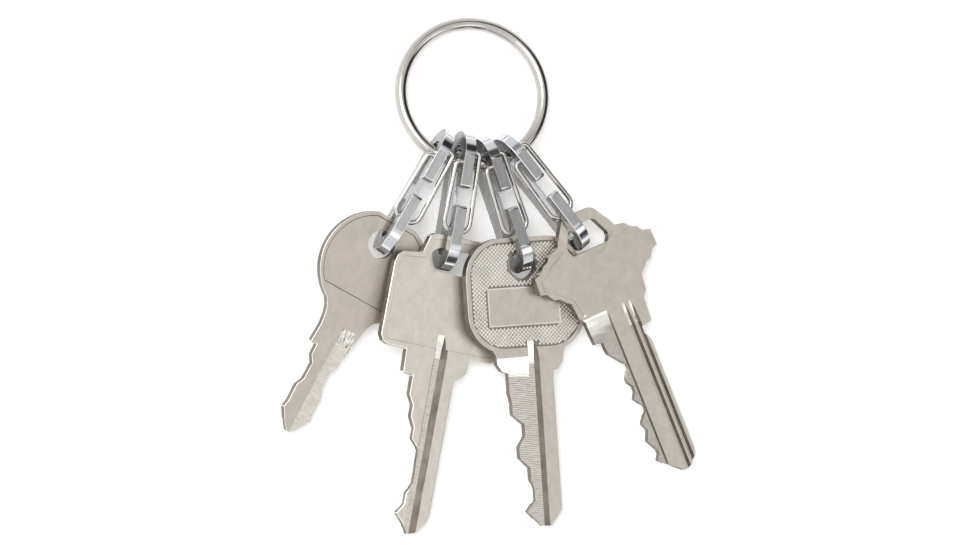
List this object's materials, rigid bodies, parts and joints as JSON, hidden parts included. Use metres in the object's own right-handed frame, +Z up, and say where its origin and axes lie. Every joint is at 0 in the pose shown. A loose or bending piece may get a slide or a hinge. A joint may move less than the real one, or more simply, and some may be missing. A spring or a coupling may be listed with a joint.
{
  "type": "key organiser",
  "caption": "Key organiser: a welded round ring carrying flat snap links with sprung wire gates, each link holding a different door key fanned out on a table.",
  "frame": {"origin": "on the table under the middle of the whole bunch's box", "axes": "+Z up from the table, -Y towards the key tips, +X to the right when the keys point towards the viewer"},
  "size_m": [0.0808, 0.0992, 0.0098],
  "materials": {
    "ring_steel": "polished stainless wire",
    "link_steel": "satin front, polished ends",
    "gate_wire": "polished spring wire",
    "key_metal": "nickel plated, satin, lightly worn"
  },
  "bodies": {
    "ring": {"key_ring": "ring_steel"},
    "link_1": {"link_1": "link_steel"},
    "key_1": {"key_1": "key_metal"},
    "gate_1": {"gate_1": "gate_wire"},
    "link_2": {"link_2": "link_steel"},
    "key_2": {"key_2": "key_metal"},
    "gate_2": {"gate_2": "gate_wire"},
    "link_3": {"link_3": "link_steel"},
    "key_3": {"key_3": "key_metal"},
    "gate_3": {"gate_3": "gate_wire"},
    "link_4": {"link_4": "link_steel"},
    "key_4": {"key_4": "key_metal"},
    "gate_4": {"gate_4": "gate_wire"}
  },
  "joints": [
    {"name": "link_1_swing", "type": "hinge", "parent": "ring", "child": "link_1", "pos_m": [-0.01112, 0.02297, 0.00486], "axis": [0.1307, -0.1443, 0.9809], "range_deg": [-14, 1.5]},
    {"name": "key_1_swing", "type": "hinge", "parent": "link_1", "child": "key_1", "pos_m": [-0.02078, 0.00638, 0.00421], "axis": [0.1307, -0.1443, 0.9809], "range_deg": [-25, 9]},
    {"name": "gate_1_open", "type": "hinge", "parent": "link_1", "child": "gate_1", "pos_m": [-0.01143, 0.02176, 0.00802], "axis": [0.8613, -0.4973, -0.1045], "range_deg": [0, 11], "stiffness_Nm_per_rad": 0.08, "springref_deg": -5.73},
    {"name": "link_2_swing", "type": "hinge", "parent": "ring", "child": "link_2", "pos_m": [-0.00636, 0.0211, 0.00513], "axis": [0.1738, -0.0843, 0.9812], "range_deg": [-3, 1.5]},
    {"name": "key_2_swing", "type": "hinge", "parent": "link_2", "child": "key_2", "pos_m": [-0.00929, 0.00334, 0.00481], "axis": [0.1738, -0.0843, 0.9812], "range_deg": [-17, 3]},
    {"name": "gate_2_open", "type": "hinge", "parent": "link_2", "child": "gate_2", "pos_m": [-0.00584, 0.02102, 0.00801], "axis": [0.973, -0.1593, -0.1668], "range_deg": [0, 11], "stiffness_Nm_per_rad": 0.08, "springref_deg": -5.73},
    {"name": "link_3_swing", "type": "hinge", "parent": "ring", "child": "link_3", "pos_m": [-0.00106, 0.0211, 0.00513], "axis": [0.1984, -0.0435, 0.9792], "range_deg": [-2.5, 0.4]},
    {"name": "key_3_swing", "type": "hinge", "parent": "link_3", "child": "key_3", "pos_m": [0.00509, 0.00324, 0.00491], "axis": [0.1984, -0.0435, 0.9792], "range_deg": [-6, 2]},
    {"name": "gate_3_open", "type": "hinge", "parent": "link_3", "child": "gate_3", "pos_m": [-0.00019, 0.02045, 0.008], "axis": [0.9275, 0.3194, -0.1942], "range_deg": [0, 11], "stiffness_Nm_per_rad": 0.08, "springref_deg": -5.73},
    {"name": "link_4_swing", "type": "hinge", "parent": "ring", "child": "link_4", "pos_m": [0.0037, 0.02297, 0.00486], "axis": [0.2096, 0.0167, 0.9776], "range_deg": [-0.4, 4]},
    {"name": "key_4_swing", "type": "hinge", "parent": "link_4", "child": "key_4", "pos_m": [0.01614, 0.00763, 0.0053], "axis": [0.2096, 0.0167, 0.9776], "range_deg": [-8, 8]},
    {"name": "gate_4_open", "type": "hinge", "parent": "link_4", "child": "gate_4", "pos_m": [0.00514, 0.02188, 0.00802], "axis": [0.7707, 0.6219, -0.1392], "range_deg": [0, 11], "stiffness_Nm_per_rad": 0.08, "springref_deg": -5.73}
  ]
}
